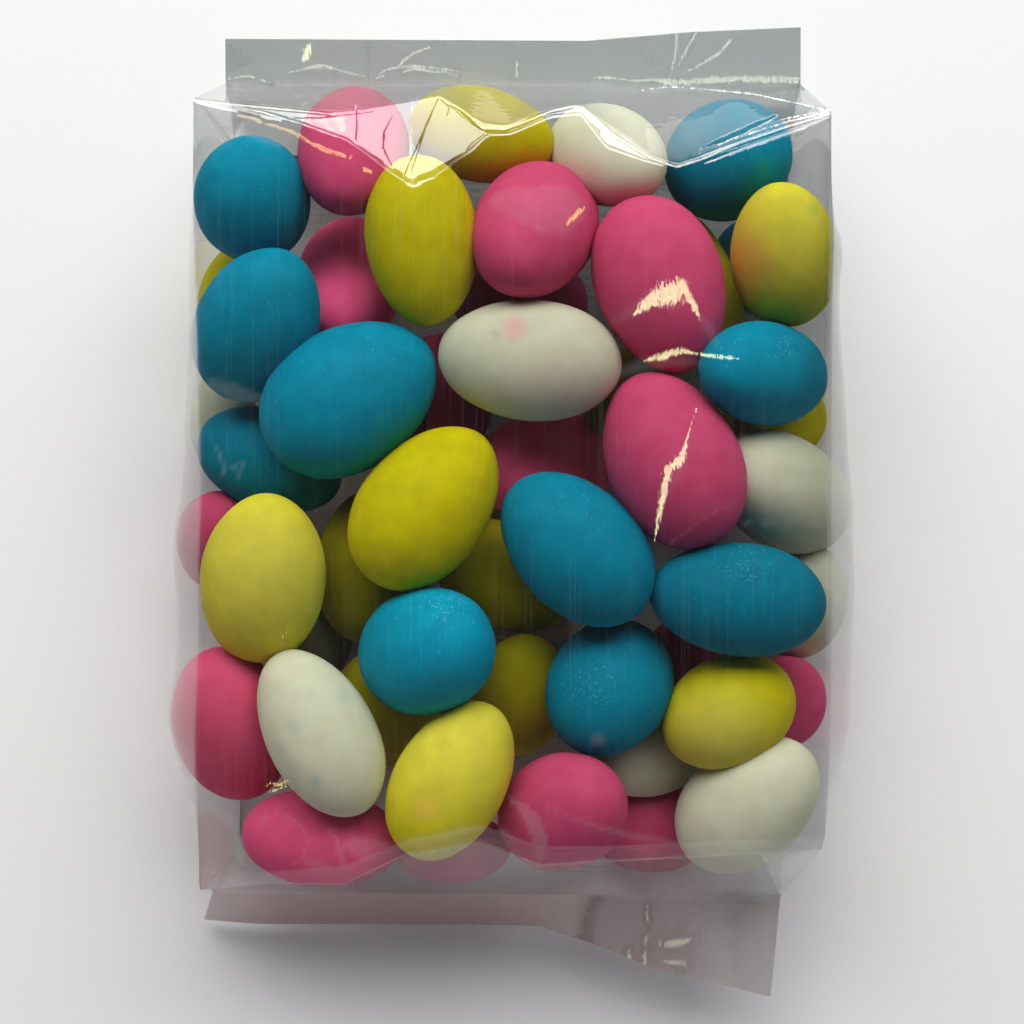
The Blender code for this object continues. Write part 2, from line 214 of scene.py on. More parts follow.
def outline(middle, axes, sizes, turn, narrowing):
    """How an egg is seen from the eye: its middle, length and width in the picture, measured along its
    turn, and how far the ellipse it makes is turned from there."""
    steps = np.arange(OUTLINE_POINTS)
    level = 1 - 2 * (steps + 0.5) / OUTLINE_POINTS
    swing = steps * math.pi * (3 - math.sqrt(5))
    round_it = np.sqrt(1 - level**2)
    ball = np.stack([level, round_it * np.cos(swing), round_it * np.sin(swing)], axis=1)
    ball[:, 1:] *= 1 - narrowing * ball[:, :1]
    shell = middle + (ball * sizes) @ axes
    scale = EYE_SCALE / (EYE_HEIGHT - shell[:, 2])
    across, up = shell[:, 0] * scale, shell[:, 1] * scale
    along = across * math.cos(turn) + up * math.sin(turn)
    beside = up * math.cos(turn) - across * math.sin(turn)
    half = (along.max() + along.min()) / 2, (beside.max() + beside.min()) / 2
    length, width = np.ptp(along), np.ptp(beside)
    rising, falling = np.ptp(along + beside), np.ptp(along - beside)
    return (half[0] * math.cos(turn) - half[1] * math.sin(turn),
            half[0] * math.sin(turn) + half[1] * math.cos(turn),
            length, width, math.atan2((rising**2 - falling**2) / 2, length**2 - width**2) / 2)


def fit_to_sight(middle, axis, half_long, half_wide):
    """Trims the almonds of the upper layer to the outlines that are seen, after the settling moved them."""
    turned = frames(axis)
    for number, seen_almond in enumerate(ALMONDS[:UPPER_LAYER]):
        (across, down, length, width, turn), narrowing = seen_almond[:5], seen_almond[8]
        for _ in range(TRIMMING_STEPS):
            sizes = np.array([half_long[number], half_wide[number], half_wide[number] * ALMOND_FLATNESS])
            seen = outline(middle[number], turned[number], sizes, math.radians(turn), narrowing)
            reach = (EYE_HEIGHT - middle[number, 2]) / EYE_SCALE
            middle[number, 0] += TRIM * (across - PICTURE_MIDDLE - seen[0]) * reach
            middle[number, 1] += TRIM * (PICTURE_MIDDLE - down - seen[1]) * reach
            half_long[number] *= 1 + TRIM * (length / seen[2] - 1) * (half_long[number] / half_wide[number])
            half_wide[number] *= 1 + TRIM * (width / seen[3] - 1)
            sight = Vector((0.0, 0.0, EYE_HEIGHT)) - Vector(middle[number])
            turned[number] = turned[number] @ np.array(Matrix.Rotation(-TRIM * seen[4], 3, sight)).T
    return middle, turned, half_long, half_wide


settled = fit_to_sight(*settle(ALMONDS))

# Patches on the shells, by the almond's place in the list: the middle in the picture, the radius there,
# the strength and the colour. Most are stains, where a neighbour's dye came off or the dye is paler. The
# wide pale patches on almonds 8, 18, 21 and 23 are a painted veil, the light that the hazy film over them
# scatters, and the dark patch on the lower side of almond 6 is painted shade. The orange-brown patch on
# almond 3 darkens its lower right, and the olive one on almond 8 its lower end. Then the places where
# more crystals show.
STAINS_AND_PAINTED_SHADING = {
    3: [(535, 172, 34, 0.55, "#b87a1e")],
    5: [(585, 178, 30, 0.30, "#d09a98")],
    6: [(762, 166, 16, 0.45, "#109a6a"), (738, 194, 44, 0.40, "#06443c")],
    8: [(785, 250, 130, 0.14, "#d8d094"), (812, 210, 11, 0.40, "#5f9a2a"), (744, 262, 42, 0.55, "#c8832c"),
        (796, 322, 34, 0.50, "#6f8a26")],
    10: [(398, 440, 40, 0.30, "#0a8a72")],
    11: [(515, 328, 17, 0.50, "#dc7a96"), (497, 334, 4, 0.45, "#8a6f5e"), (556, 388, 60, 0.18, "#c89a96")],
    18: [(263, 578, 130, 0.19, "#d8d094"), (264, 584, 9, 0.25, "#86a02a"),
         (300, 560, 10, 0.12, "#86a02a")],
    20: [(598, 740, 10, 0.45, "#9cc0c0")],
    21: [(720, 748, 80, 0.22, "#d8d094")],
    22: [(345, 697, 11, 0.28, "#6f9ea0"), (293, 727, 9, 0.28, "#6f9ea0"),
         (278, 748, 8, 0.22, "#6f9ea0"), (316, 782, 9, 0.40, "#5f9498")],
    23: [(462, 745, 120, 0.15, "#d8d094"), (427, 808, 17, 0.40, "#dc9a48")],
    24: [(231, 723, 140, 0.35, "#b44a54")],
}
CRYSTALS = {13: [(785, 345, 26)], 19: [(447, 605, 34)], 17: [(748, 560, 40)], 20: [(590, 690, 40)]}

# The shell: how uneven it is over about a third of the almond's length, as a share of its size, and how
# often the ball that it starts from is split.
SHELL_LUMPS = 0.016
LUMP_SCALE = 1.4
SHELL_SPLITS = 5


def seen_at(point):
    """Where a point of the frame, in millimetres, is seen in the picture."""
    scale = EYE_SCALE / (EYE_HEIGHT - point.z)
    return Vector((PICTURE_MIDDLE + point.x * scale, PICTURE_MIDDLE - (point.y + BAG_MIDDLE_Y) * scale))


def faded(share):
    """A soft spot: 1 in its middle, 0 from its radius on."""
    return max(1 - share**2, 0.0) ** 1.5


def linear(hex_colour):
    """A colour written as sRGB hex, as the linear colour that a shader takes."""
    parts = [int(hex_colour[i:i + 2], 16) / 255 for i in (1, 3, 5)]
    return tuple(c / 12.92 if c <= 0.04045 else ((c + 0.055) / 1.055) ** 2.4 for c in parts) + (1.0,)


def sugar_shell(mesh, number, narrowing):
    """Adds one almond to a mesh: a fine ball drawn out to its size, narrowed to one end, slightly lumpy."""
    middle, (long, wide, flat), half_long, half_wide = (column[number] for column in settled)
    stretch = Matrix((long * half_long, wide * half_wide, flat * half_wide * ALMOND_FLATNESS))
    stretch.transpose()
    place = Vector((middle[0], middle[1] - BAG_MIDDLE_Y, middle[2]))
    tone_and_painted_shading, stain_and_painted_shading = mesh.verts.layers.float["tone_and_painted_shading"], mesh.verts.layers.float_color["stain_and_painted_shading"]
    crystals = mesh.verts.layers.float["crystals"]
    for vert in bmesh.ops.create_icosphere(mesh, subdivisions=SHELL_SPLITS, radius=1.0)["verts"]:
        ball = vert.co.copy()
        lumps = 1 + SHELL_LUMPS * noise.noise(ball * LUMP_SCALE + Vector((7.0 * number, 0.0, 0.0)))
        narrow = 1 - narrowing * ball.x
        vert.co = (place + stretch @ (Vector((ball.x, ball.y * narrow, ball.z * narrow)) * lumps)) * MM
        # The tone, partly painted shade and painted light, darkens or lightens the whole almond.
        vert[tone_and_painted_shading] = ALMONDS[number][7]
        spot = seen_at(vert.co / MM)
        # Stains, and on some almonds painted shade and a painted veil of the light that the film scatters.
        dye_and_painted_shading, stain_and_shading_share = Vector((0.0, 0.0, 0.0)), 0.0
        for x, y, radius, strength, hex_colour in STAINS_AND_PAINTED_SHADING.get(number, []):
            share = strength * faded((spot - Vector((x, y))).length / radius)
            dye_and_painted_shading, stain_and_shading_share = dye_and_painted_shading + share * Vector(linear(hex_colour)[:3]), stain_and_shading_share + share
        vert[stain_and_painted_shading] = (*(dye_and_painted_shading / max(stain_and_shading_share, 0.001)), min(stain_and_shading_share, 1.0))
        vert[crystals] = sum(faded((spot - Vector((x, y))).length / radius)
                             for x, y, radius in CRYSTALS.get(number, []))


def add(tree, kind, settings={}, inputs={}):
    """Adds a node with its settings, and its inputs as values or as links from other nodes' outputs."""
    made = tree.nodes.new("ShaderNode" + kind)
    for name, value in settings.items():
        setattr(made, name, value)
    for name, value in inputs.items():
        if isinstance(value, bpy.types.NodeSocket):
            tree.links.new(value, made.inputs[name])
        else:
            made.inputs[name].default_value = value
    return made


def new_material(name):
    """An empty material with its output, to which a section adds its nodes."""
    material = bpy.data.materials.new(name)
    material.use_nodes = True
    material.node_tree.nodes.clear()
    return material, material.node_tree, add(material.node_tree, "OutputMaterial")


# Panned sugar, dyed: an opaque satin shell, soft in its highlight, faintly mottled over 3 mm where the
# dye took unevenly, with the grain of the sugar in its gloss and pale specks where a crystal shows. Real
# grain is about 0.1 mm: it is drawn coarser, as fine as the picture can hold.
SUGAR_IOR = 1.5
SUGAR_ROUGHNESS = 0.6
SUGAR_GLOSS = 0.05
MOTTLE_SIZE, MOTTLE_RANGE = 3.0 * MM, (0.35, 0.65)
GRAIN_SIZE, GRAIN_HEIGHT, GRAIN_STRENGTH = 0.5 * MM, 0.05 * MM, 0.12
SPECK_SPACING, SPECK_RARITY = 0.45 * MM, (0.67, 0.80)
CRYSTALS_MORE = 0.12
PATCHY_RANGE, PATCHY_STRENGTHS = (0.3, 0.6), (0.75, 1.1)

# Each colour: the well dyed shell, the thinly dyed one, the specks, and how much a speck shows.
SUGAR_COLOURS = {
    "blue": ("#0087a2", "#007f9a", "#6abccc", 0.30),
    "pink": ("#c84a72", "#c2436b", "#d8799a", 0.04),
    "yellow": ("#bfb500", "#b5ab00", "#cac25a", 0.06),
    "white": ("#c4c6ac", "#bebfa5", "#cfcebe", 0.0),
}


def sugar(colour):
    """The material of one colour's shells."""
    light, dark, speck, speckled = SUGAR_COLOURS[colour]
    material, tree, output = new_material(f"panned_sugar_{colour}")
    place = add(tree, "TexCoord").outputs["Object"]
    mottle = add(tree, "TexNoise", {}, {"Vector": place, "Scale": 1 / MOTTLE_SIZE, "Detail": 1.0})
    blotch = add(tree, "MapRange", {}, {"Value": mottle.outputs["Fac"], "From Min": MOTTLE_RANGE[0],
                                        "From Max": MOTTLE_RANGE[1]})
    body = add(tree, "Mix", {"data_type": "RGBA"},
               {"Factor": blotch.outputs["Result"], 6: linear(dark), 7: linear(light)})
    specks = add(tree, "TexNoise", {}, {"Vector": place, "Scale": 1 / SPECK_SPACING, "Detail": 1.0})
    crystals = add(tree, "Attribute", {"attribute_name": "crystals"})
    many = add(tree, "Math", {"operation": "MULTIPLY_ADD"},
               {0: crystals.outputs["Fac"], 1: CRYSTALS_MORE, 2: specks.outputs["Fac"]})
    shown = add(tree, "MapRange", {}, {"Value": many.outputs[0], "From Min": SPECK_RARITY[0],
                                       "From Max": SPECK_RARITY[1], "To Max": speckled})
    body = add(tree, "Mix", {"data_type": "RGBA"},
               {"Factor": shown.outputs["Result"], 6: body.outputs[2], 7: linear(speck)})
    # The stains, with painted shade and a painted veil of the film's scattered light on some almonds.
    stain_and_painted_shading = add(tree, "Attribute", {"attribute_name": "stain_and_painted_shading"})
    patchy = add(tree, "MapRange", {}, {"Value": specks.outputs["Fac"], "From Min": PATCHY_RANGE[0],
                                        "From Max": PATCHY_RANGE[1], "To Min": PATCHY_STRENGTHS[0],
                                        "To Max": PATCHY_STRENGTHS[1]})
    stain_and_shading_share = add(tree, "Math", {"operation": "MULTIPLY"},
                 {0: stain_and_painted_shading.outputs["Alpha"], 1: patchy.outputs["Result"]})
    body = add(tree, "Mix", {"data_type": "RGBA"},
               {"Factor": stain_and_shading_share.outputs[0], 6: body.outputs[2], 7: stain_and_painted_shading.outputs["Color"]})
    # The tone darkens or lightens whole almonds, partly at random and partly as painted shade and light.
    tone_and_painted_shading = add(tree, "Attribute", {"attribute_name": "tone_and_painted_shading"})
    bright = add(tree, "Math", {"operation": "ADD"}, {0: tone_and_painted_shading.outputs["Fac"], 1: 1.0})
    toned_and_shaded = add(tree, "Mix", {"data_type": "RGBA", "blend_type": "MULTIPLY"},
                {"Factor": 1.0, 6: body.outputs[2], 7: bright.outputs[0]})
    grain = add(tree, "TexNoise", {}, {"Vector": place, "Scale": 1 / GRAIN_SIZE, "Detail": 0.0})
    relief = add(tree, "Bump", {}, {"Height": grain.outputs["Fac"], "Strength": GRAIN_STRENGTH,
                                    "Distance": GRAIN_HEIGHT})
    shell = add(tree, "BsdfPrincipled", {},
                {"Base Color": toned_and_shaded.outputs[2], "Roughness": SUGAR_ROUGHNESS, "IOR": SUGAR_IOR,
                 "Specular IOR Level": SUGAR_GLOSS, "Normal": relief.outputs["Normal"]})
    tree.links.new(shell.outputs[0], output.inputs["Surface"])
    return material


def finished(mesh, name, material):
    """A bmesh as a smooth piece of the scene that rides on the bag's one body."""
    data = bpy.data.meshes.new(name)
    mesh.to_mesh(data)
    mesh.free()
    data.materials.append(material)
    data.shade_smooth()
    piece = bpy.data.objects.new(name, data)
    bpy.context.scene.collection.objects.link(piece)
    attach(piece, "root")
    return piece


for colour in SUGAR_COLOURS:
    shells = bmesh.new()
    shells.verts.layers.float.new("tone_and_painted_shading")
    shells.verts.layers.float.new("crystals")
    shells.verts.layers.float_color.new("stain_and_painted_shading")
    for number, seen in enumerate(ALMONDS):
        if seen[6] == colour:
            sugar_shell(shells, number, seen[8])
    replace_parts(finished(shells, f"almonds_{colour}", sugar(colour)), "bag")


# The bag: one tube of clear polypropylene film with a gusset down each side, filled, and heat sealed flat
# at both ends. The almonds draw it tight, and at its ends the front panel folds down to the seals in
# leaning facets.

# Driving dimensions of the bag, in millimetres, and how far the facets at its ends lean from the table.
PANEL_WIDTH = 88.0
GUSSET_HEIGHT = 35.0
SEAL_THICKNESS = 0.4
PANEL_CROWN = 2.2
TOP_LEAN, BOTTOM_LEAN = math.tan(math.radians(19)), math.tan(math.radians(24))
BACK_HEM = 1.0
SHOULDER_FOLD = 7.0

# The film's grid: spans across the front, up a gusset and across the back, and along each stretch of the
# bag, as it is first drawn. It is then drawn again ever finer, up to the last fineness.
FRONT_SPANS, GUSSET_SPANS, BACK_SPANS = 34, 6, 34
STRETCH_ROWS = [2, 3, 1, 34, 3, 3, 2]
FINENESSES = [1, 2, 5]

# Where the front panel turns down, in picture units: the fold that begins the turn, and the fold where the
# shoulder starts. Between them lies a facet that leans outwards.
TOP_TURN = [(193, 101), (240, 110), (301, 123), (346, 140), (386, 171), (411, 187), (432, 180), (463, 158),
            (488, 134), (510, 133), (552, 115), (580, 112), (606, 146), (650, 161), (678, 168), (828, 117)]
TOP_FOLD = [(193, 98), (288, 108), (338, 113), (382, 107), (440, 97), (484, 126), (505, 128), (552, 109),
            (580, 105), (650, 156), (678, 164), (828, 112)]
BOTTOM_TURN = [(196, 884), (267, 874), (344, 868), (405, 842), (480, 826), (540, 848), (600, 848), (827, 838)]
BOTTOM_FOLD = [(196, 890), (267, 883), (344, 884), (405, 853), (480, 839), (540, 864), (600, 860), (827, 848)]

# Along the front panel's edges: how far each one stands in from half the width, and how far it sags.
PANEL_EDGE_Y = [-52.0, -33.0, 2.0, 38.0, 57.0]
LEFT_WAIST = [0.4, 0.8, 1.7, 0.6, 0.0]
RIGHT_WAIST = [0.6, 0.4, 0.6, 0.1, -0.2]
EDGE_SAG = [2.5, 0.4, 0.0, 0.0, 0.8]

# Along the side gussets: how far the almonds bow them out. At the shoulders they fold in instead.
GUSSET_Y = [-52.0, -44.0, -31.0, -6.0, 14.0, 38.0, 49.0, 57.0]
LEFT_GUSSET_OUT = [-1.0, 3.4, 6.4, 6.2, 4.4, 3.0, 1.3, -1.0]
RIGHT_GUSSET_OUT = [-1.0, 3.4, 6.0, 5.9, 4.9, 3.4, 1.3, -1.0]

# Points on the end seals as (x, y, z) of their middle, from left to right: their roots and their cut
# ends. The left half of the bottom seal hangs down to the table.
TOP_SEAL_ROOT = [(-42.7, 63.9, 17.0), (43.0, 63.7, 17.0)]
TOP_SEAL_END = [(-42.3, 69.8, 19.5), (11.0, 69.5, 19.5), (26.5, 70.8, 19.5), (42.6, 71.5, 19.5)]
BOTTOM_SEAL_ROOT = [(-45.3, -57.4, 13.5), (40.6, -58.2, 13.5)]
BOTTOM_SEAL_END = [(-48.8, -64.6, 2.0), (-40.0, -65.3, 2.0), (-6.0, -65.2, 2.6), (4.4, -64.8, 5.0),
                   (13.7, -67.3, 7.5), (22.0, -70.3, 9.5), (39.3, -73.7, 12.3)]

# How the film is drawn over the almonds: the steps, the pull of its neighbours and of its own shape in a
# step, and how far beyond an almond's length it is looked at, in millimetres.
TIGHTENING_STEPS = 80
TENSION = 0.5
STIFFNESS = 0.015
ALMOND_SURROUND = 6.0


def folded(points, x, height):
    """The y of the film at each x, where it is seen on a fold line from its height."""
    reach = (EYE_HEIGHT - height) / EYE_SCALE
    return (PICTURE_MIDDLE - np.interp(PICTURE_MIDDLE + x / reach, *zip(*points))) * reach


def turned_down(turn, fold, x, height, lean):
    """The two edges of the facets at one end of the front panel, as rows of the film."""
    turn_y = folded(turn, x, height)
    low = height
    for _ in range(3):
        fold_y = folded(fold, x, low)
        low = height - lean * np.abs(fold_y - turn_y)
    return row(x, turn_y, height), row(x, fold_y, low)


def edges(y):
    """The x of the panel's left and right edges and their height, at each y."""
    left = -PANEL_WIDTH / 2 + np.interp(y, PANEL_EDGE_Y, LEFT_WAIST)
    right = PANEL_WIDTH / 2 - np.interp(y, PANEL_EDGE_Y, RIGHT_WAIST)
    return left, right, GUSSET_HEIGHT - np.interp(y, PANEL_EDGE_Y, EDGE_SAG)


def row(x, y, z):
    return np.stack([x, np.broadcast_to(y, x.shape), np.broadcast_to(z, x.shape)], axis=-1)


def seal_row(points, t, side):
    """A row across one face of an end seal, through its points, at shares t of its width."""
    across, along, height = np.array(points).T
    x = across[0] + (across[-1] - across[0]) * t
    return row(x, np.interp(x, across, along), np.interp(x, across, height) + side * SEAL_THICKNESS / 2)


def crowned(t):
    """How far a panel bulges at shares t of its width: 0 at its edges, 1 in the middle."""
    return 1 - (2 * t - 1) ** 4


def front_rows(t):
    """The key rows of the front panel, from the bottom seal's end to the top seal's."""
    low_left, low_right, low_height = edges(PANEL_EDGE_Y[0])
    high_left, high_right, high_height = edges(PANEL_EDGE_Y[-1])
    low_x = low_left + (low_right - low_left) * t
    high_x = high_left + (high_right - high_left) * t
    crown = PANEL_CROWN * crowned(t)
    low_turn, low_fold = turned_down(BOTTOM_TURN, BOTTOM_FOLD, low_x, low_height + crown, BOTTOM_LEAN)
    high_turn, high_fold = turned_down(TOP_TURN, TOP_FOLD, high_x, high_height + crown, TOP_LEAN)
    return [seal_row(BOTTOM_SEAL_END, t, 1), seal_row(BOTTOM_SEAL_ROOT, t, 1), low_fold, low_turn,
            high_turn, high_fold, seal_row(TOP_SEAL_ROOT, t, 1), seal_row(TOP_SEAL_END, t, 1)]


def back_rows(t):
    """The key rows of the back panel, flat on the table between its hems."""
    low_y, high_y = PANEL_EDGE_Y[0], PANEL_EDGE_Y[-1]
    low_left, low_right, _ = edges(low_y)
    high_left, high_right, _ = edges(high_y)
    low_x = low_left + (low_right - low_left) * t
    high_x = high_left + (high_right - high_left) * t
    return [
        seal_row(BOTTOM_SEAL_END, t, -1),
        seal_row(BOTTOM_SEAL_ROOT, t, -1),
        row(low_x, low_y, TABLE),
        row(low_x, low_y + BACK_HEM, TABLE),
        row(high_x, high_y - BACK_HEM, TABLE),
        row(high_x, high_y, TABLE),
        seal_row(TOP_SEAL_ROOT, t, -1),
        seal_row(TOP_SEAL_END, t, -1),
    ]


def between_rows(keys, counts):
    """The key rows with evenly spaced rows between them, and for each row its place among the keys."""
    rows, places = [], []
    for i, count in enumerate(counts):
        for step in range(count):
            share = step / count
            rows.append(keys[i] * (1 - share) + keys[i + 1] * share)
            places.append(i + share)
    return np.array(rows + [keys[-1]]), np.array(places + [len(counts)])


def shape_panel(panel, t, rows, height_of):
    """Gives some rows of a panel its waisted edges and its height."""
    left, right, height = edges(panel[rows, :, 1])
    panel[rows, :, 0] = left + (right - left) * t
    panel[rows, :, 2] = height_of(height)


def gusset(front_edge, back_edge, side, out, places, spans):
    """The film of one side, from one panel's edge to the other's: bowed out along the body, folded in like
    a V at the shoulders."""
    share = np.linspace(0, 1, spans + 1)[1:-1]
    sheet = front_edge[:, None, :] * (1 - share[:, None]) + back_edge[:, None, :] * share[:, None]
    middle_y = (front_edge[:, 1] + back_edge[:, 1]) / 2
    bow = np.interp(middle_y, GUSSET_Y, out)[:, None] * (1 - (2 * share - 1) ** 2)
    in_shoulder = np.interp(places, [1, 1.5, 2, 5, 5.5, 6], [0, 1, 0, 0, 1, 0])[:, None]
    fold = in_shoulder * (1 - np.abs(2 * share - 1))
    in_body = ((places >= 2) & (places <= 5))[:, None]
    sheet[:, :, 0] += side * np.where(in_body, bow, -SHOULDER_FOLD * fold)
    return sheet


def film_grid(fineness):
    """The film before the almonds press on it: rows along the bag, columns round it, what may move, and each
    row's and column's place."""
    t = np.linspace(0, 1, FRONT_SPANS * fineness + 1)
    u = np.linspace(0, 1, BACK_SPANS + 1)
    spans = GUSSET_SPANS * fineness
    front, places = between_rows(front_rows(t), [count * fineness for count in STRETCH_ROWS])
    back, _ = between_rows(back_rows(u), [count * fineness for count in STRETCH_ROWS])
    shape_panel(front, t, (places >= 3) & (places <= 4), lambda height: height + PANEL_CROWN * crowned(t))
    shape_panel(back, u, (places >= 2) & (places <= 5), lambda height: TABLE)
    right = gusset(front[:, -1], back[:, -1], 1, RIGHT_GUSSET_OUT, places, spans)
    left = gusset(back[:, 0], front[:, 0], -1, LEFT_GUSSET_OUT, places, spans)
    grid = np.concatenate([front, right, back[:, ::-1], left], axis=1)
    side = np.linspace(0, 1, spans + 1)[1:-1]
    round_the_bag = np.concatenate([t, 1 + side, 2 + u, 3 + side])
    on_back = (round_the_bag >= 2) & (round_the_bag <= 3)
    in_seal = (places <= 1) | (places >= 6)
    on_table = on_back[None, :] & ((places >= 2) & (places <= 5))[:, None]
    return grid, ~in_seal[:, None] & ~on_table, places, round_the_bag


def respaced(lift, places, round_the_bag, new_places, new_round):
    """What the film was lifted on one grid, read off on a finer one."""
    lift = np.concatenate([lift, lift[:, :1]], axis=1)
    i = np.interp(new_places, places, np.arange(len(places)))
    j = np.interp(new_round, np.append(round_the_bag, 4.0), np.arange(lift.shape[1]))
    lower, left = np.minimum(i.astype(int), len(places) - 2), np.minimum(j.astype(int), lift.shape[1] - 2)
    up, over = (i - lower)[:, None, None], (j - left)[None, :, None]
    lift = lift[lower] * (1 - up) + lift[lower + 1] * up
    return lift[:, left] * (1 - over) + lift[:, left + 1] * over


def draw_tight(grid, free, lift, stiffness):
    """Lets the almonds push the film out, with the film drawn evenly over them."""
    middle, turned, half_long, half_wide = settled
    radii = np.stack([half_long, half_wide, half_wide * ALMOND_FLATNESS], axis=1) + FILM_GAP
    film = grid + lift
    near = [np.nonzero((np.abs(film - centre).max(axis=2) < radius.max() + ALMOND_SURROUND) & free)
            for centre, radius in zip(middle, radii)]
    for _ in range(TIGHTENING_STEPS):
        lift = film - grid
        sideways = np.roll(lift, 1, axis=1) + np.roll(lift, -1, axis=1)
        along = np.concatenate([lift[:1], lift[:-1]]) + np.concatenate([lift[1:], lift[-1:]])
        film += free[:, :, None] * (TENSION * ((sideways + along) / 4 - lift) - stiffness * lift)
        for centre, turn, radius, close in zip(middle, turned, radii, near):
            offsets = film[close] - centre
            depth = np.linalg.norm(offsets @ turn.T / radius, axis=1)
            pressed = depth < 1
            film[close[0][pressed], close[1][pressed]] = centre + offsets[pressed] / depth[pressed][:, None]
    return film


grid, free, places, round_the_bag = film_grid(FINENESSES[0])
film = draw_tight(grid, free, np.zeros_like(grid), STIFFNESS)
for level, fineness in enumerate(FINENESSES[1:], 1):
    finer, free, new_places, new_round = film_grid(fineness)
    lift = respaced(film - grid, places, round_the_bag, new_places, new_round)
    film = draw_tight(finer, free, lift, STIFFNESS / 4**level)
    grid, places, round_the_bag = finer, new_places, new_round

# Haze of the film, as a share of what is behind it, by the place along the bag: over the almonds, along
# the gussets, under them, and more where the shoulders fold and the ends are sealed.
HAZE_PLACES = [0.0, 0.9, 1.1, 1.9, 2.1, 3.0, 3.2, 3.5, 3.75, 3.95, 4.9, 5.1, 5.9, 6.1, 7.0]
FRONT_HAZE = [0.45, 0.45, 0.10, 0.07, 0.01, 0.004, 0.004, 0.004, 0.004, 0.004, 0.01, 0.04, 0.10, 0.46, 0.46]
LEFT_HAZE = [0.45, 0.45, 0.20, 0.16, 0.14, 0.16, 0.16, 0.26, 0.16, 0.26, 0.40, 0.20, 0.16, 0.46, 0.46]
RIGHT_HAZE = [0.45, 0.45, 0.20, 0.20, 0.12, 0.14, 0.26, 0.34, 0.60, 0.40, 0.40, 0.40, 0.40, 0.46, 0.46]
BACK_HAZE = [0.45, 0.45, 0.20, 0.10, 0.12, 0.14, 0.30, 0.40, 0.50, 0.62, 0.70, 0.70, 0.60, 0.46, 0.46]
haze = np.zeros(film.shape[:2])
side_of = np.clip(round_the_bag.astype(int), 0, 3)
for side, amounts in enumerate([FRONT_HAZE, RIGHT_HAZE, BACK_HAZE, LEFT_HAZE]):
    haze[:, side_of == side] = np.interp(places, HAZE_PLACES, amounts)[:, None]

